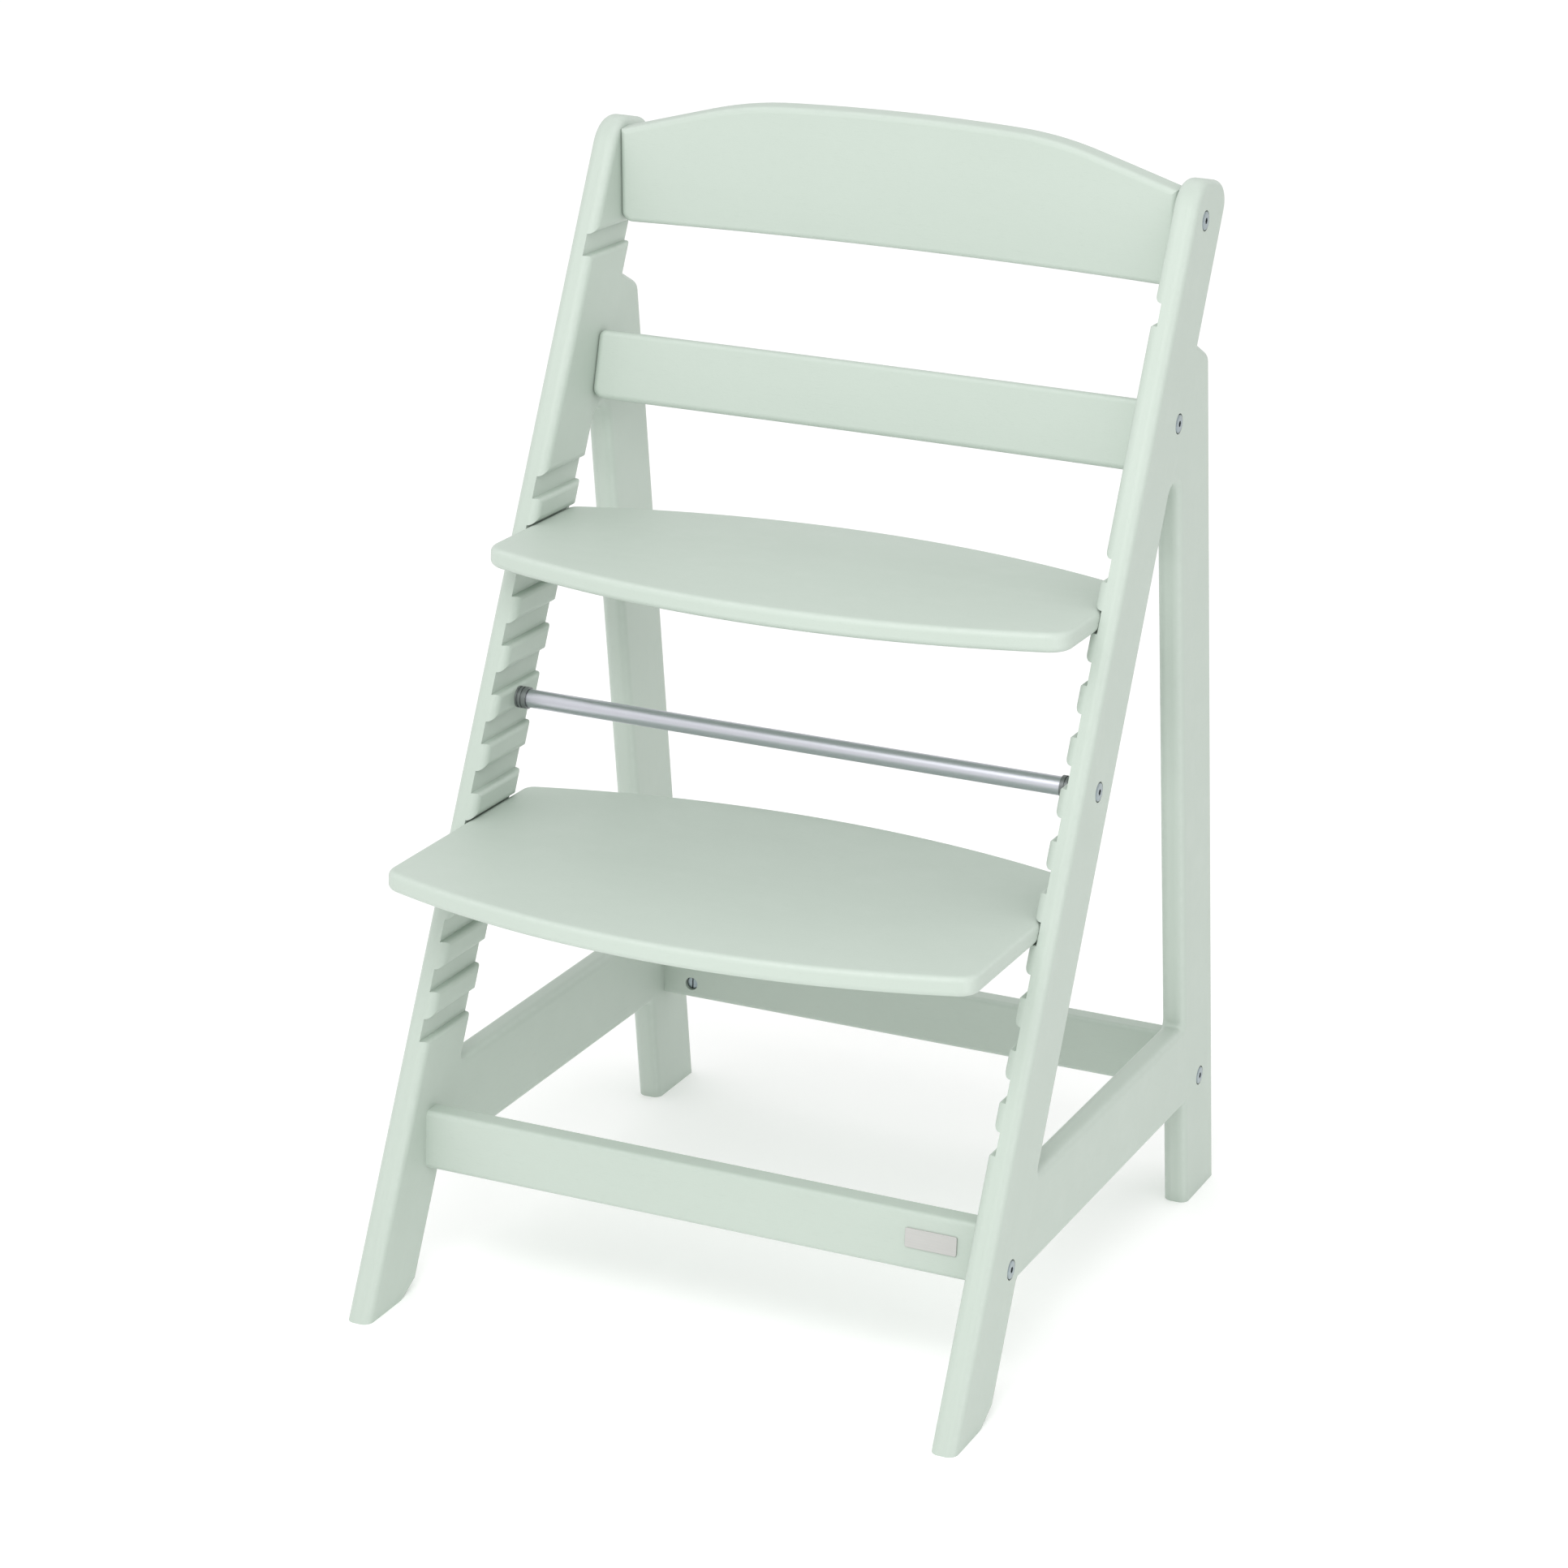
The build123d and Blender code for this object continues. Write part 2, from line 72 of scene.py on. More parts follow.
# ---------------------------------------------------------------- node helpers
@dataclass(frozen=True)
class Noise:
    """Soft noise: features per metre, octaves, and the weight of the finer octaves."""

    scale: float
    detail: float
    roughness: float


@dataclass(frozen=True)
class Step:
    """A smooth step: start at low and below, end at high and above."""

    low: float
    high: float
    start: float = 0.0
    end: float = 1.0


class NodeSheet:
    """A node tree with short calls to add nodes and join their sockets."""

    def __init__(self, tree: bpy.types.NodeTree) -> None:
        """Keep the tree that the nodes go into."""
        self.tree = tree

    def add(self, kind: str, **settings: object) -> bpy.types.Node:
        """Add a node.

        Args:
            kind: Node type, such as ShaderNodeMath.
            settings: Properties of the node, such as operation.

        Returns:
            The new node.
        """
        node = self.tree.nodes.new(kind)
        for name, value in settings.items():
            setattr(node, name, value)
        return node

    def join(self, source: Source, target: bpy.types.NodeSocket) -> None:
        """Feed a socket from another socket, or set it to a plain value.

        Args:
            source: An output socket, a number, a colour or a vector.
            target: The input socket.
        """
        if isinstance(source, bpy.types.NodeSocket):
            self.tree.links.new(source, target)
        elif isinstance(target, bpy.types.NodeSocketColor):
            target.default_value = (*source, 1.0)
        else:
            target.default_value = source

    def math(self, operation: str, first: Source, second: Source) -> bpy.types.NodeSocket:
        """Work out one number from two.

        Args:
            operation: Name of the sum, such as MULTIPLY.
            first: Socket or number.
            second: Socket or number.

        Returns:
            The result's socket.
        """
        node = self.add("ShaderNodeMath", operation=operation)
        self.join(first, node.inputs[0])
        self.join(second, node.inputs[1])
        return node.outputs[0]

    def ramp(self, value: Source, step: Step) -> bpy.types.NodeSocket:
        """Map a range of values smoothly onto another.

        Args:
            value: Socket with the value.
            step: Where the change starts and ends, and what it gives there.

        Returns:
            The result's socket.
        """
        node = self.add("ShaderNodeMapRange", interpolation_type="SMOOTHSTEP")
        for source, name in (
            (value, "Value"),
            (step.low, "From Min"),
            (step.high, "From Max"),
            (step.start, "To Min"),
            (step.end, "To Max"),
        ):
            self.join(source, node.inputs[name])
        return node.outputs["Result"]

    def blend(self, amount: Source, first: Source, second: Source) -> bpy.types.NodeSocket:
        """Blend two colours.

        Args:
            amount: Share of the second colour.
            first: Colour or socket.
            second: Colour or socket.

        Returns:
            The blended colour's socket.
        """
        node = self.add("ShaderNodeMix", data_type="RGBA", blend_type="MIX")
        self.join(amount, node.inputs[MIX_SHARE])
        self.join(first, node.inputs[MIX_FIRST])
        self.join(second, node.inputs[MIX_SECOND])
        return node.outputs[MIX_RESULT]

    def noise(self, vector: Source, kind: Noise) -> bpy.types.NodeSocket:
        """Add soft noise.

        Args:
            vector: Where the noise is read.
            kind: How fine and how rough it is.

        Returns:
            The noise value's socket.
        """
        node = self.add("ShaderNodeTexNoise")
        self.join(vector, node.inputs["Vector"])
        self.join(kind.scale, node.inputs["Scale"])
        self.join(kind.detail, node.inputs["Detail"])
        self.join(kind.roughness, node.inputs["Roughness"])
        return node.outputs["Fac"]

    def stretch(self, vector: Source, scale: Point) -> bpy.types.NodeSocket:
        """Scale a position along each axis.

        Args:
            vector: Position's socket.
            scale: Factor along X, Y and Z.

        Returns:
            The scaled position's socket.
        """
        node = self.add("ShaderNodeVectorMath", operation="MULTIPLY")
        self.join(vector, node.inputs[0])
        self.join(scale, node.inputs[1])
        return node.outputs["Vector"]

    def lean(self, vector: Source, degrees: float) -> bpy.types.NodeSocket:
        """Turn a vector about X, so that Z runs along a board that leans back by that angle.

        Args:
            vector: Vector's socket.
            degrees: The board's lean from the vertical.

        Returns:
            The turned vector's socket.
        """
        node = self.add("ShaderNodeVectorRotate", rotation_type="X_AXIS")
        self.join(vector, node.inputs["Vector"])
        self.join(math.radians(degrees), node.inputs["Angle"])
        return node.outputs["Vector"]


class EffectGroup:
    """A shader node group that is built once and placed in many materials."""

    name = ""
    inputs: tuple[tuple[str, Socket], ...] = ()
    outputs: tuple[tuple[str, Socket], ...] = ()

    def __init__(self) -> None:
        """Build the group's sockets and nodes."""
        self.tree = bpy.data.node_groups.new(self.name, "ShaderNodeTree")
        for direction, sockets in (("INPUT", self.inputs), ("OUTPUT", self.outputs)):
            for name, kind in sockets:
                self.tree.interface.new_socket(name, in_out=direction, socket_type=kind.value)
        sheet = NodeSheet(self.tree)
        entry = sheet.add("NodeGroupInput")
        leave = sheet.add("NodeGroupOutput")
        self.fill(sheet, entry.outputs, leave.inputs)

    def fill(
        self, sheet: NodeSheet, given: bpy.types.NodeOutputs, results: bpy.types.NodeInputs
    ) -> None:
        """Add the nodes between the group's inputs and outputs.

        Args:
            sheet: The group's node tree.
            given: The group's input values.
            results: The group's output sockets.
        """
        raise NotImplementedError

    def place(self, sheet: NodeSheet, **values: Source) -> bpy.types.NodeOutputs:
        """Place the group in a material.

        Args:
            sheet: The material's node tree.
            values: Inputs by name, with underscores for spaces.

        Returns:
            The placed group's outputs.
        """
        node = sheet.add("ShaderNodeGroup")
        node.node_tree = self.tree
        for name, value in values.items():
            sheet.join(value, node.inputs[name.replace("_", " ")])
        return node.outputs


class FibreGroup(EffectGroup):
    """Fibres and pores of a close-grained board, running along the position's Z."""

    name = "wood fibres"
    inputs = (("Position", Socket.VECTOR), ("Fineness", Socket.VALUE))
    outputs = (("Height", Socket.VALUE), ("Tone", Socket.VALUE), ("Pores", Socket.VALUE))
    fibre_stretch: Point = (1.0, 1.0, 0.045)
    pore_stretch: Point = (1.0, 1.0, 0.09)
    band_noise = Noise(scale=60.0, detail=3.0, roughness=0.55)
    fibre_noise = Noise(scale=700.0, detail=2.0, roughness=0.6)
    pore_noise = Noise(scale=1500.0, detail=1.0, roughness=0.5)
    pit_step = Step(low=0.62, high=0.74)
    tone_step = Step(low=0.3, high=0.7)
    fibre_share: float = 0.6
    band_share: float = 0.4
    pit_share: float = 0.35

    def fill(
        self, sheet: NodeSheet, given: bpy.types.NodeOutputs, results: bpy.types.NodeInputs
    ) -> None:
        """Add long soft fibres, broad bands and short pores.

        Args:
            sheet: The group's node tree.
            given: The group's input values.
            results: The group's output sockets.
        """
        scaled = sheet.add("ShaderNodeVectorMath", operation="SCALE")
        sheet.join(given["Position"], scaled.inputs[0])
        sheet.join(given["Fineness"], scaled.inputs["Scale"])
        position = scaled.outputs["Vector"]
        along = sheet.stretch(position, self.fibre_stretch)
        bands = sheet.noise(along, self.band_noise)
        fibres = sheet.noise(along, self.fibre_noise)
        pores = sheet.noise(sheet.stretch(position, self.pore_stretch), self.pore_noise)
        pits = sheet.ramp(pores, self.pit_step)
        height = sheet.math(
            "ADD",
            sheet.math("MULTIPLY", fibres, self.fibre_share),
            sheet.math("MULTIPLY", bands, self.band_share),
        )
        pitted = sheet.math("SUBTRACT", height, sheet.math("MULTIPLY", pits, self.pit_share))
        sheet.join(pitted, results["Height"])
        sheet.join(sheet.ramp(bands, self.tone_step), results["Tone"])
        sheet.join(pits, results["Pores"])


class SprayFilmGroup(EffectGroup):
    """The skin of sprayed paint: fine peel, and broad patches where the film is fuller."""

    name = "sprayed film"
    inputs = (("Position", Socket.VECTOR),)
    outputs = (("Height", Socket.VALUE), ("Fullness", Socket.VALUE), ("Smudge", Socket.VALUE))
    peel_noise = Noise(scale=620.0, detail=1.0, roughness=0.45)
    nib_noise = Noise(scale=260.0, detail=0.0, roughness=0.5)
    patch_noise = Noise(scale=9.0, detail=2.0, roughness=0.5)
    smudge_noise = Noise(scale=38.0, detail=4.0, roughness=0.65)
    nib_step = Step(low=0.78, high=0.86)
    smudge_step = Step(low=0.45, high=0.75)
    nib_share: float = 0.8

    def fill(
        self, sheet: NodeSheet, given: bpy.types.NodeOutputs, results: bpy.types.NodeInputs
    ) -> None:
        """Add fine peel with a few nibs, broad patches and faint handling smudges.

        Args:
            sheet: The group's node tree.
            given: The group's input values.
            results: The group's output sockets.
        """
        position = given["Position"]
        peel = sheet.noise(position, self.peel_noise)
        nibs = sheet.ramp(sheet.noise(position, self.nib_noise), self.nib_step)
        raised = sheet.math("ADD", peel, sheet.math("MULTIPLY", nibs, self.nib_share))
        sheet.join(raised, results["Height"])
        sheet.join(sheet.noise(position, self.patch_noise), results["Fullness"])
        smudge = sheet.ramp(sheet.noise(position, self.smudge_noise), self.smudge_step)
        sheet.join(smudge, results["Smudge"])


class BoardEdgeGroup(EffectGroup):
    """Where a squared board's rounded edges are, from its own normal, and how enclosed its creases are,
    for painted shade.
    """

    name = "board edges"
    inputs = (
        ("Board Normal", Socket.VECTOR),
        ("Position", Socket.VECTOR),
        ("Crease Reach", Socket.VALUE),
    )
    outputs = (("Edge", Socket.VALUE), ("Crease", Socket.VALUE))
    turn_step = Step(low=0.72, high=0.97, start=1.0, end=0.0)
    wear_and_highlight_noise = Noise(scale=140.0, detail=3.0, roughness=0.6)
    wear_and_highlight_step = Step(low=0.3, high=0.7, start=0.45)
    crease_step = Step(low=0.35, high=0.85, start=1.0, end=0.0)
    crease_samples: int = 8

    def fill(
        self, sheet: NodeSheet, given: bpy.types.NodeOutputs, results: bpy.types.NodeInputs
    ) -> None:
        """Find the turning part of the normal, break it up a little, and read how enclosed it is.

        Args:
            sheet: The group's node tree.
            given: The group's input values.
            results: The group's output sockets.
        """
        absolute = sheet.add("ShaderNodeVectorMath", operation="ABSOLUTE")
        sheet.join(given["Board Normal"], absolute.inputs[0])
        parts = sheet.add("ShaderNodeSeparateXYZ")
        sheet.join(absolute.outputs["Vector"], parts.inputs[0])
        largest = sheet.math("MAXIMUM", parts.outputs["X"], parts.outputs["Y"])
        largest = sheet.math("MAXIMUM", largest, parts.outputs["Z"])
        turn = sheet.ramp(largest, self.turn_step)
        # Noise breaks up the edge mask. The mask gives glossier rubbed edges and also a painted
        # highlight.
        wear_and_highlight = sheet.ramp(sheet.noise(given["Position"], self.wear_and_highlight_noise), self.wear_and_highlight_step)
        sheet.join(sheet.math("MULTIPLY", turn, wear_and_highlight), results["Edge"])
        # Painted shade: ambient occlusion finds the enclosed creases that the materials darken.
        enclosed = sheet.add("ShaderNodeAmbientOcclusion", samples=self.crease_samples)
        sheet.join(given["Crease Reach"], enclosed.inputs["Distance"])
        sheet.join(sheet.ramp(enclosed.outputs["AO"], self.crease_step), results["Crease"])


class DrawnMetalGroup(EffectGroup):
    """Fine lines drawn along the position's X, with a mottle like plating."""

    name = "drawn metal"
    inputs = (("Position", Socket.VECTOR), ("Line Stretch", Socket.VALUE))
    outputs = (("Lines", Socket.VALUE), ("Mottle", Socket.VALUE))
    line_noise = Noise(scale=3500.0, detail=2.0, roughness=0.6)
    cell_scale: float = 900.0

    def fill(
        self, sheet: NodeSheet, given: bpy.types.NodeOutputs, results: bpy.types.NodeInputs
    ) -> None:
        """Stretch fine noise into lines and add a cell mottle.

        Args:
            sheet: The group's node tree.
            given: The group's input values.
            results: The group's output sockets.
        """
        parts = sheet.add("ShaderNodeSeparateXYZ")
        sheet.join(given["Position"], parts.inputs[0])
        lined = sheet.add("ShaderNodeCombineXYZ")
        drawn_out = sheet.math("MULTIPLY", parts.outputs["X"], given["Line Stretch"])
        sheet.join(drawn_out, lined.inputs["X"])
        sheet.join(parts.outputs["Y"], lined.inputs["Y"])
        sheet.join(parts.outputs["Z"], lined.inputs["Z"])
        sheet.join(sheet.noise(lined.outputs["Vector"], self.line_noise), results["Lines"])
        cells = sheet.add("ShaderNodeTexVoronoi")
        sheet.join(given["Position"], cells.inputs["Vector"])
        sheet.join(self.cell_scale, cells.inputs["Scale"])
        sheet.join(cells.outputs["Distance"], results["Mottle"])


@dataclass(frozen=True)
class Effects:
    """The node groups that the materials share."""

    fibres: FibreGroup
    film: SprayFilmGroup
    edges: BoardEdgeGroup
    drawn: DrawnMetalGroup


# ---------------------------------------------------------------- finishes
def new_material(name: str) -> tuple[bpy.types.Material, NodeSheet, bpy.types.Node, bpy.types.Node]:
    """Make a material with an empty Principled shader.

    Args:
        name: The material's name.

    Returns:
        The material, its node sheet, its Principled node and its texture coordinates.
    """
    material = bpy.data.materials.new(name)
    material.use_nodes = True
    material.node_tree.nodes.clear()
    sheet = NodeSheet(material.node_tree)
    shader = sheet.add("ShaderNodeBsdfPrincipled")
    output = sheet.add("ShaderNodeOutputMaterial")
    sheet.join(shader.outputs["BSDF"], output.inputs["Surface"])
    return material, sheet, shader, sheet.add("ShaderNodeTexCoord")


def add_bump(
    sheet: NodeSheet, shader: bpy.types.Node, layers: tuple[tuple[bpy.types.NodeSocket, float], ...]
) -> None:
    """Stack bumps on a shader's normal.

    Args:
        sheet: The material's node sheet.
        shader: The Principled node.
        layers: Height socket and depth in metres of each bump.
    """
    below = None
    for height, depth in layers:
        bump = sheet.add("ShaderNodeBump")
        sheet.join(height, bump.inputs["Height"])
        sheet.join(depth, bump.inputs["Distance"])
        if below is not None:
            sheet.join(below, bump.inputs["Normal"])
        below = bump.outputs["Normal"]
    sheet.join(below, shader.inputs["Normal"])


@dataclass(frozen=True)
class SagePaint:
    """Matte sage paint sprayed on a close-grained board; the fibres show faintly through it."""

    base: Colour = (0.466, 0.533, 0.477)
    full: Colour = (0.494, 0.562, 0.505)
    # Paler tint for the rounded edges: a painted highlight.
    edge_highlight: Colour = (0.560, 0.626, 0.573)
    # Darker tint for the pores, and painted shade in the creases.
    crease: Colour = (0.340, 0.410, 0.355)
    tone_share: float = 0.25
    pore_share: float = 0.10
    edge_share: float = 0.45
    crease_shade_share: float = 0.22
    crease_reach: float = 0.014
    fineness: float = 1.0
    roughness: float = 0.52
    sheen_spread: float = 0.07
    specular: float = 0.42
    fibre_depth: float = 0.00006
    peel_depth: float = 0.00004

    def make(self, effects: Effects, grain: Grain) -> bpy.types.Material:
        """Build the paint for boards whose fibres run one way.

        Args:
            effects: The shared node groups.
            grain: The way the fibres run.

        Returns:
            The material.
        """
        material, sheet, shader, places = new_material(f"sage_paint_{grain.name.lower()}")
        lean, axis = grain.value
        position = sheet.lean(places.outputs["Object"], lean)
        normal = sheet.lean(places.outputs["Normal"], lean)
        along = self.along(sheet, position, axis)
        fibres = effects.fibres.place(sheet, Position=along, Fineness=self.fineness)
        film = effects.film.place(sheet, Position=position)
        edges = effects.edges.place(
            sheet, Board_Normal=normal, Position=position, Crease_Reach=self.crease_reach
        )
        colour = sheet.blend(film["Fullness"], self.base, self.full)
        for mask, share, tint in (
            (fibres["Tone"], self.tone_share, self.full),
            (fibres["Pores"], self.pore_share, self.crease),
            # Paler tint on the rounded edges: a painted highlight, broken up like wear.
            (edges["Edge"], self.edge_share, self.edge_highlight),
            # Creases tint: painted shade where the surface is enclosed.
            (edges["Crease"], self.crease_shade_share, self.crease),
        ):
            colour = sheet.blend(sheet.math("MULTIPLY", mask, share), colour, tint)
        sheet.join(colour, shader.inputs["Base Color"])
        smudged = sheet.math("MULTIPLY", film["Smudge"], -self.sheen_spread)
        exposed = sheet.math("MULTIPLY", edges["Edge"], -self.sheen_spread)
        change = sheet.math("ADD", smudged, exposed)
        sheet.join(sheet.math("ADD", change, self.roughness), shader.inputs["Roughness"])
        shader.inputs["Specular IOR Level"].default_value = self.specular
        layers = ((fibres["Height"], self.fibre_depth), (film["Height"], self.peel_depth))
        add_bump(sheet, shader, layers)
        return material

    def along(
        self, sheet: NodeSheet, position: bpy.types.NodeSocket, axis: str
    ) -> bpy.types.NodeSocket:
        """Turn a position so that Z runs along the fibres.

        Args:
            sheet: The material's node sheet.
            position: Position along the board.
            axis: The board axis that the fibres follow.

        Returns:
            The turned position's socket.
        """
        if axis == "Z":
            return position
        parts = sheet.add("ShaderNodeSeparateXYZ")
        sheet.join(position, parts.inputs[0])
        turned = sheet.add("ShaderNodeCombineXYZ")
        order = {"X": ("Y", "Z", "X"), "Y": ("Z", "X", "Y")}[axis]
        for target, source in zip(("X", "Y", "Z"), order):
            sheet.join(parts.outputs[source], turned.inputs[target])
        return turned.outputs["Vector"]


@dataclass(frozen=True)
class Steel:
    """Plated or drawn steel, with painted shade where it is enclosed, such as in a socket."""

    name: str
    bright: Colour
    dull: Colour
    shade: Colour = (0.10, 0.11, 0.12)
    metallic: float = 1.0
    roughness: float = 0.26
    spread: float = 0.12
    line_stretch: float = 0.02
    line_depth: float = 0.00002
    line_share: float = 0.6
    mottle_share: float = 0.5
    crease_shade_share: float = 0.9
    crease_reach: float = 0.0025

    def make(self, effects: Effects) -> bpy.types.Material:
        """Build the metal.

        Args:
            effects: The shared node groups.

        Returns:
            The material.
        """
        material, sheet, shader, places = new_material(self.name)
        position = places.outputs["Object"]
        drawn = effects.drawn.place(sheet, Position=position, Line_Stretch=self.line_stretch)
        edges = effects.edges.place(
            sheet,
            Board_Normal=places.outputs["Normal"],
            Position=position,
            Crease_Reach=self.crease_reach,
        )
        lines = sheet.math("MULTIPLY", drawn["Lines"], self.line_share)
        mottle = sheet.math("MULTIPLY", drawn["Mottle"], self.mottle_share)
        colour = sheet.blend(sheet.math("ADD", lines, mottle), self.dull, self.bright)
        # Painted shade: the colour goes toward the shade colour where the steel is enclosed.
        enclosed = sheet.math("MULTIPLY", edges["Crease"], self.crease_shade_share)
        sheet.join(sheet.blend(enclosed, colour, self.shade), shader.inputs["Base Color"])
        shader.inputs["Metallic"].default_value = self.metallic
        rough = sheet.math("MULTIPLY", drawn["Lines"], self.spread)
        rough = sheet.math("ADD", rough, sheet.math("MULTIPLY", drawn["Mottle"], self.spread))
        rough = sheet.math("ADD", rough, self.roughness - self.spread / 2)
        sheet.join(rough, shader.inputs["Roughness"])
        add_bump(sheet, shader, ((drawn["Lines"], self.line_depth),))
        return material


@dataclass(frozen=True)
class BareBeech:
    """Unpainted beech of the dowels, with short brown flecks."""

    pale: Colour = (0.62, 0.43, 0.26)
    brown: Colour = (0.43, 0.27, 0.15)
    pore_share: float = 0.7
    fineness: float = 1.6
    gloss_step: Step = Step(low=0.2, high=0.8, start=0.75, end=0.55)
    fibre_depth: float = 0.0001

    def make(self, effects: Effects) -> bpy.types.Material:
        """Build the wood.

        Args:
            effects: The shared node groups.

        Returns:
            The material.
        """
        material, sheet, shader, places = new_material("bare_beech")
        position = places.outputs["Object"]
        fibres = effects.fibres.place(sheet, Position=position, Fineness=self.fineness)
        colour = sheet.blend(fibres["Tone"], self.pale, self.brown)
        flecks = sheet.math("MULTIPLY", fibres["Pores"], self.pore_share)
        sheet.join(sheet.blend(flecks, colour, self.brown), shader.inputs["Base Color"])
        sheet.join(sheet.ramp(fibres["Height"], self.gloss_step), shader.inputs["Roughness"])
        add_bump(sheet, shader, ((fibres["Height"], self.fibre_depth),))
        return material


@dataclass(frozen=True)
class DarkSleeve:
    """Dark grey ringed sleeve, paler on its open ridges and darker where the rings enclose it."""

    dark: Colour = (0.075, 0.085, 0.085)
    exposed: Colour = (0.30, 0.32, 0.32)
    crease_reach: float = 0.001
    gloss_step: Step = Step(low=0.0, high=1.0, start=0.42, end=0.3)
    metallic: float = 0.6
    peel_depth: float = 0.00003

    def make(self, effects: Effects) -> bpy.types.Material:
        """Build the sleeve's finish.

        Args:
            effects: The shared node groups.

        Returns:
            The material.
        """
        material, sheet, shader, places = new_material("dark_sleeve")
        position = places.outputs["Object"]
        film = effects.film.place(sheet, Position=position)
        edges = effects.edges.place(
            sheet,
            Board_Normal=places.outputs["Normal"],
            Position=position,
            Crease_Reach=self.crease_reach,
        )
        # Paler on the open ridges and darker where ambient occlusion finds the rings enclosing the
        # surface.
        ridge = sheet.math("SUBTRACT", 1.0, edges["Crease"])
        open_ridge_share = sheet.math("MULTIPLY", ridge, film["Fullness"])
        sheet.join(sheet.blend(open_ridge_share, self.dark, self.exposed), shader.inputs["Base Color"])
        sheet.join(sheet.ramp(film["Smudge"], self.gloss_step), shader.inputs["Roughness"])
        shader.inputs["Metallic"].default_value = self.metallic
        add_bump(sheet, shader, ((film["Height"], self.peel_depth),))
        return material


@dataclass(frozen=True)
class SatinPlate:
    """Blank satin plate, finely brushed along its length."""

    pale: Colour = (0.54, 0.535, 0.515)
    grey: Colour = (0.44, 0.44, 0.43)
    patch_share: float = 0.3
    line_stretch: float = 0.015
    gloss_step: Step = Step(low=0.3, high=0.7, start=0.30, end=0.42)
    metallic: float = 0.25
    line_depth: float = 0.00002

    def make(self, effects: Effects) -> bpy.types.Material:
        """Build the plate's finish.

        Args:
            effects: The shared node groups.

        Returns:
            The material.
        """
        material, sheet, shader, places = new_material("satin_plate")
        position = places.outputs["Object"]
        drawn = effects.drawn.place(sheet, Position=position, Line_Stretch=self.line_stretch)
        film = effects.film.place(sheet, Position=position)
        colour = sheet.blend(drawn["Lines"], self.grey, self.pale)
        patches = sheet.math("MULTIPLY", film["Fullness"], self.patch_share)
        sheet.join(sheet.blend(patches, colour, self.pale), shader.inputs["Base Color"])
        sheet.join(sheet.ramp(drawn["Lines"], self.gloss_step), shader.inputs["Roughness"])
        shader.inputs["Metallic"].default_value = self.metallic
        add_bump(sheet, shader, ((drawn["Lines"], self.line_depth),))
        return material


# ---------------------------------------------------------------- dressing
def dress(node: str, material: bpy.types.Material) -> None:
    """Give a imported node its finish.

    Args:
        node: The node's name.
        material: Its new material.
    """
    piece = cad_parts[node]
    piece.data.materials.clear()
    piece.data.materials.append(material)
    LOG.info("%s: %d faces in %s", node, len(piece.data.polygons), material.name)


@dataclass
class SideFrames:
    """The two glued side frames: grooved rails, rear legs and side boards."""

    paint: SagePaint = SagePaint()
    boards: tuple[tuple[str, Grain], ...] = (
        ("rail", Grain.RAIL),
        ("rear_leg", Grain.LEG),
        ("side_board", Grain.DEPTH),
    )

    def build(self, effects: Effects) -> None:
        """Dress both sides' boards along their grain.

        Args:
            effects: The shared node groups.
        """
        for board, grain in self.boards:
            material = self.paint.make(effects, grain)
            for side in SIDES:
                dress(f"{side}_{board}", material)


@dataclass
class CrossPieces:
    """Everything painted that runs from side to side: crossbars, back slats and the two plates."""

    paint: SagePaint = SagePaint()
    nodes: tuple[str, ...] = (
        "front_crossbar",
        "rear_crossbar",
        "middle_back_slat",
        "top_back_slat",
        "seat_plate",
        "foot_plate",
    )

    def build(self, effects: Effects) -> None:
        """Dress the pieces along their width.

        Args:
            effects: The shared node groups.
        """
        material = self.paint.make(effects, Grain.WIDTH)
        for node in self.nodes:
            dress(node, material)


@dataclass
class Fittings:
    """Bolts, barrel nuts, dowels, tie rod and its collars, and the blank plate."""

    zinc: Steel = Steel("zinc_steel", bright=(0.40, 0.46, 0.48), dull=(0.20, 0.25, 0.27))
    tube: Steel = Steel(
        "drawn_tube",
        bright=(0.62, 0.63, 0.68),
        dull=(0.53, 0.54, 0.585),
        roughness=0.34,
        spread=0.06,
        line_depth=0.000005,
        line_share=0.7,
        mottle_share=0.2,
    )
    joints: tuple[str, ...] = ("top_slat", "middle_slat", "front_crossbar", "rear_crossbar")

    def build(self, effects: Effects) -> None:
        """Dress the metalwork, the hidden dowels and the blank plate.

        Args:
            effects: The shared node groups.
        """
        zinc = self.zinc.make(effects)
        beech = BareBeech().make(effects)
        for joint in self.joints:
            dress(f"{joint}_bolts", zinc)
            dress(f"{joint}_barrel_nuts", zinc)
            dress(f"{joint}_dowels", beech)
        for side in SIDES:
            dress(f"{side}_frame_dowels", beech)
        dress("tie_rod_bolts", zinc)
        dress("tie_rod_inserts", zinc)
        dress("tie_rod", self.tube.make(effects))
        dress("tie_rod_collars", DarkSleeve().make(effects))
        dress("badge", SatinPlate().make(effects))


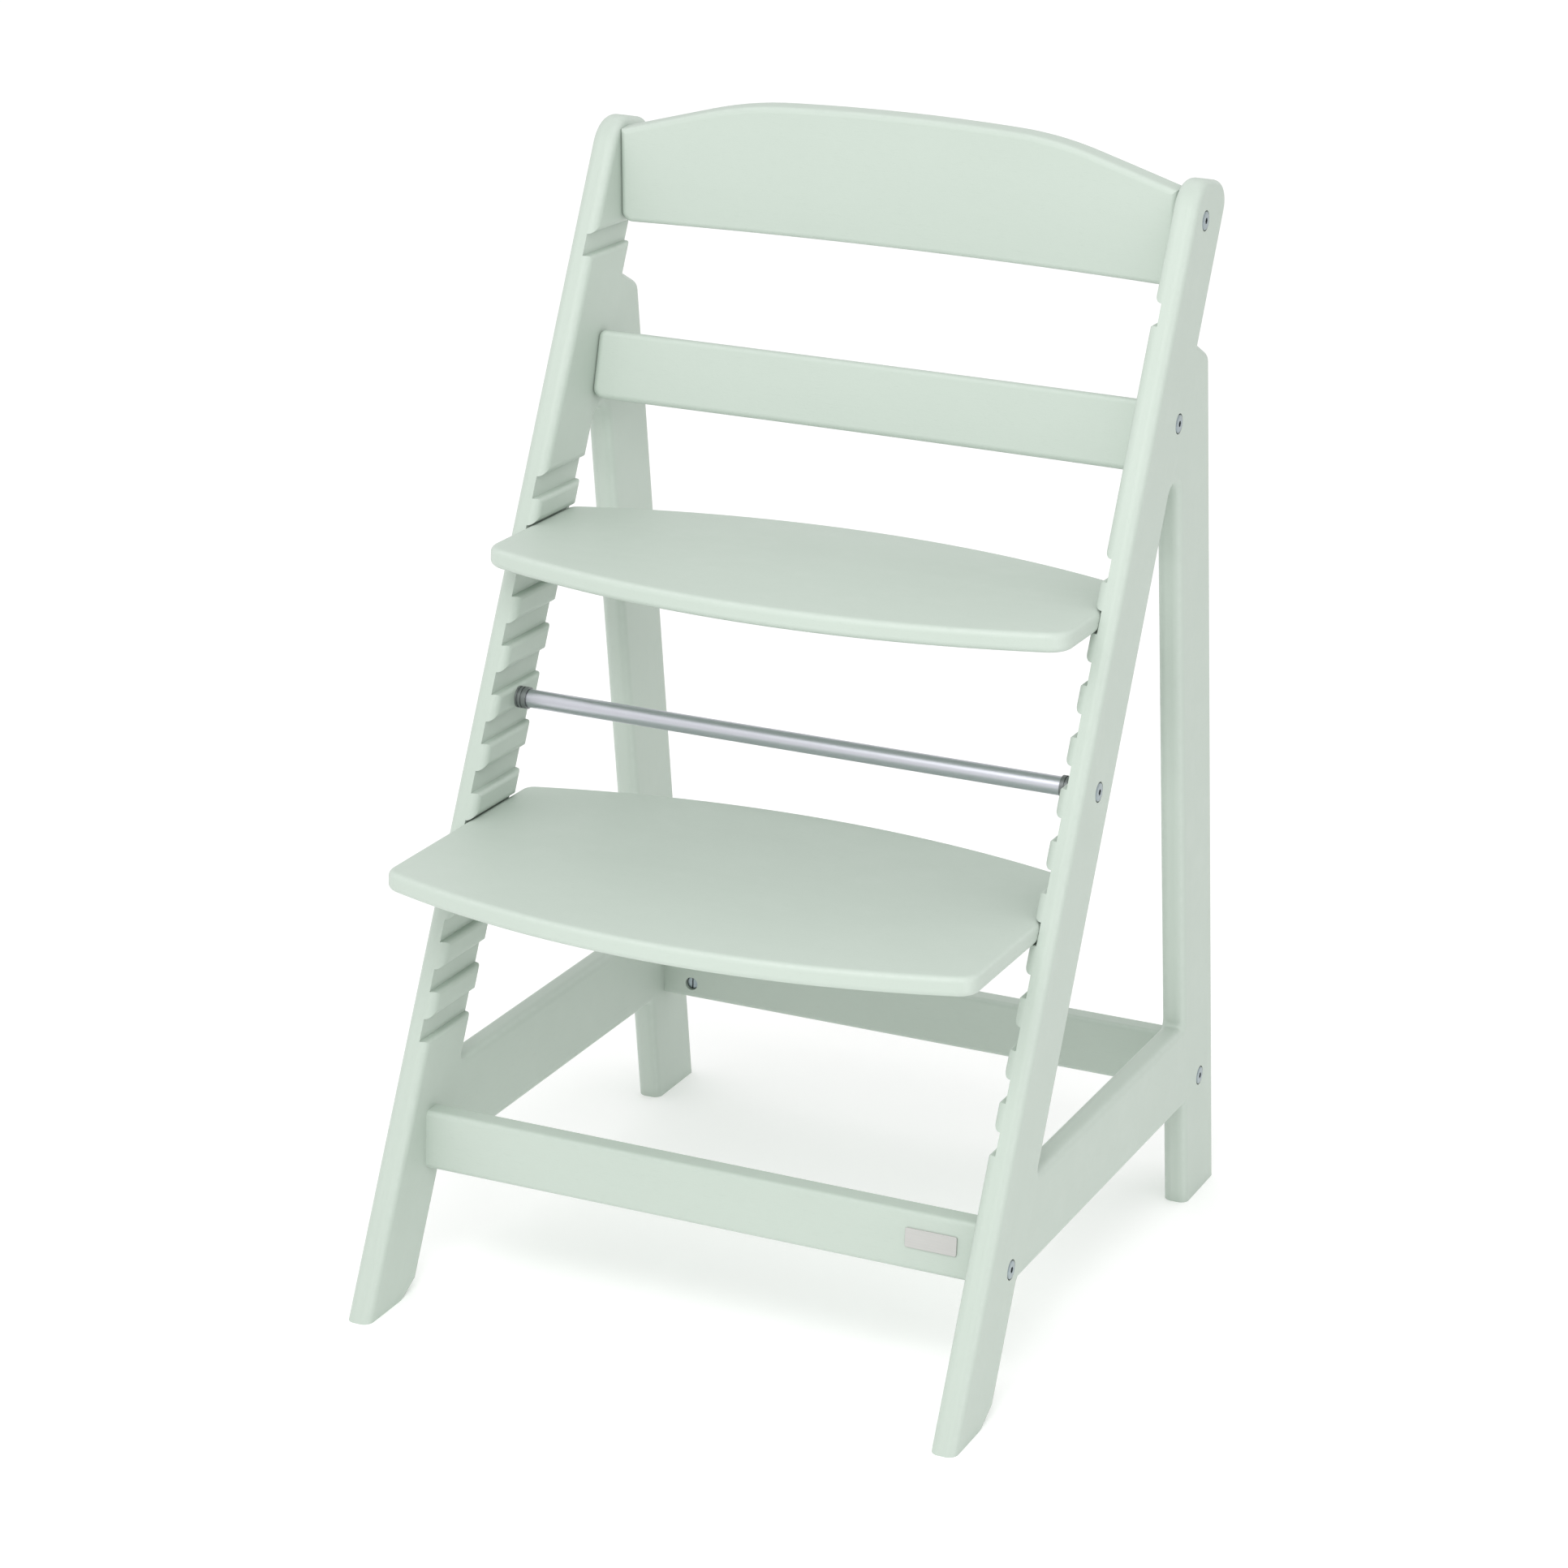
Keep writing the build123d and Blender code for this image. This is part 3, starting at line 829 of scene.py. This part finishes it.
# ---------------------------------------------------------------- studio
@dataclass
class Studio:
    """Plain pale floor, even white surroundings, a broad soft light, and the camera."""

    floor_side: float = 60.0
    floor_colour: Colour = (0.95, 0.95, 0.945)
    floor_dimming: float = 0.97
    floor_noise: Noise = Noise(scale=40.0, detail=3.0, roughness=0.6)
    floor_gloss: Step = Step(low=0.3, high=0.7, start=0.75, end=0.85)
    floor_specular: float = 0.1
    floor_glow: float = 0.15
    sky_strength: float = 0.95
    mirrored_sky: Step = Step(low=0.55, high=0.9, start=0.95, end=1.25)
    key_place: Point = (0.30, -1.50, 1.55)
    key_size: float = 1.2
    key_power: float = 16.0
    eye: Point = (1.1315, -2.7305, 1.3152)
    heading: float = 22.95
    tilt: float = -17.08
    roll: float = 2.12
    lens: float = 102.42
    sensor: float = 36.0
    drop: float = -0.0497
    far_limit: float = 100.0

    def build(self) -> None:
        """Make the floor, surroundings, light and camera."""
        self.build_floor()
        self.build_sky()
        self.build_key()
        self.build_camera()

    def build_floor(self) -> None:
        """Lay the floor at the chair's feet, with a faint glow that keeps it as pale as the sky."""
        mesh = bpy.data.meshes.new("studio_floor")
        half = self.floor_side / 2
        corners = [(-half, -half, 0), (half, -half, 0), (half, half, 0), (-half, half, 0)]
        mesh.from_pydata(corners, [], [(0, 1, 2, 3)])
        floor = bpy.data.objects.new("studio_floor", mesh)
        bpy.context.scene.collection.objects.link(floor)
        material, sheet, shader, places = new_material("pale_floor")
        speckle = sheet.noise(places.outputs["Object"], self.floor_noise)
        darker = tuple(self.floor_dimming * part for part in self.floor_colour)
        sheet.join(sheet.blend(speckle, darker, self.floor_colour), shader.inputs["Base Color"])
        sheet.join(sheet.ramp(speckle, self.floor_gloss), shader.inputs["Roughness"])
        shader.inputs["Specular IOR Level"].default_value = self.floor_specular
        sheet.join(WHITE, shader.inputs["Emission Color"])
        sheet.join(self.floor_glow, shader.inputs["Emission Strength"])
        mesh.materials.append(material)
        floor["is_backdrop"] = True

    def build_sky(self) -> None:
        """Surround the scene with white that is full to the camera and brighter overhead to gloss."""
        world = bpy.data.worlds.new("studio_white")
        world.use_nodes = True
        world.node_tree.nodes.clear()
        sheet = NodeSheet(world.node_tree)
        parts = sheet.add("ShaderNodeSeparateXYZ")
        sheet.join(sheet.add("ShaderNodeTexCoord").outputs["Generated"], parts.inputs[0])
        mirrored = sheet.ramp(parts.outputs["Z"], self.mirrored_sky)
        rays = sheet.add("ShaderNodeLightPath").outputs
        extra = sheet.math("SUBTRACT", mirrored, self.sky_strength)
        change = sheet.math("MULTIPLY", rays["Is Glossy Ray"], extra)
        seen = sheet.math("MULTIPLY", rays["Is Camera Ray"], 1.0 - self.sky_strength)
        change = sheet.math("ADD", change, seen)
        light = sheet.add("ShaderNodeBackground")
        sheet.join(WHITE, light.inputs["Color"])
        sheet.join(sheet.math("ADD", change, self.sky_strength), light.inputs["Strength"])
        output = sheet.add("ShaderNodeOutputWorld")
        sheet.join(light.outputs["Background"], output.inputs["Surface"])
        bpy.context.scene.world = world
        bpy.context.scene.view_settings.view_transform = "Standard"

    def build_key(self) -> None:
        """Hang a large soft light in front of the chair and above it, aimed at the chair's middle."""
        low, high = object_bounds()
        place = Vector(self.key_place)
        lamp = bpy.data.lights.new("soft_key", "AREA")
        lamp.shape = "DISK"
        lamp.size = self.key_size
        lamp.energy = self.key_power
        key = bpy.data.objects.new("soft_key", lamp)
        key.location = place
        key.rotation_euler = (place - (low + high) / 2).to_track_quat("Z", "Y").to_euler()
        key.visible_camera = False
        bpy.context.scene.collection.objects.link(key)

    def build_camera(self) -> None:
        """Stand the camera to the front right, a little above the chair, with a slight roll."""
        heading, tilt, roll = (math.radians(a) for a in (self.heading, self.tilt, self.roll))
        forward = Vector(
            (
                -math.sin(heading) * math.cos(tilt),
                math.cos(heading) * math.cos(tilt),
                math.sin(tilt),
            )
        )
        level = forward.cross(Vector((0, 0, 1))).normalized()
        upright = level.cross(forward)
        across = math.cos(roll) * level + math.sin(roll) * upright
        over = math.cos(roll) * upright - math.sin(roll) * level
        turned = Matrix((across, over, -forward)).transposed().to_4x4()
        lens = bpy.data.cameras.new("camera")
        lens.lens = self.lens
        lens.sensor_width = self.sensor
        lens.shift_y = self.drop
        lens.clip_end = self.far_limit
        camera = bpy.data.objects.new("camera", lens)
        camera.matrix_world = Matrix.Translation(self.eye) @ turned
        bpy.context.scene.collection.objects.link(camera)
        bpy.context.scene.camera = camera


def main() -> None:
    """Dress the chair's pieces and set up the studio."""
    logging.basicConfig(level=logging.INFO, format="%(message)s")
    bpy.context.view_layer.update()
    effects = Effects(FibreGroup(), SprayFilmGroup(), BoardEdgeGroup(), DrawnMetalGroup())
    SideFrames().build(effects)
    CrossPieces().build(effects)
    Fittings().build(effects)
    Studio().build()


if __name__ == "__main__":
    main()
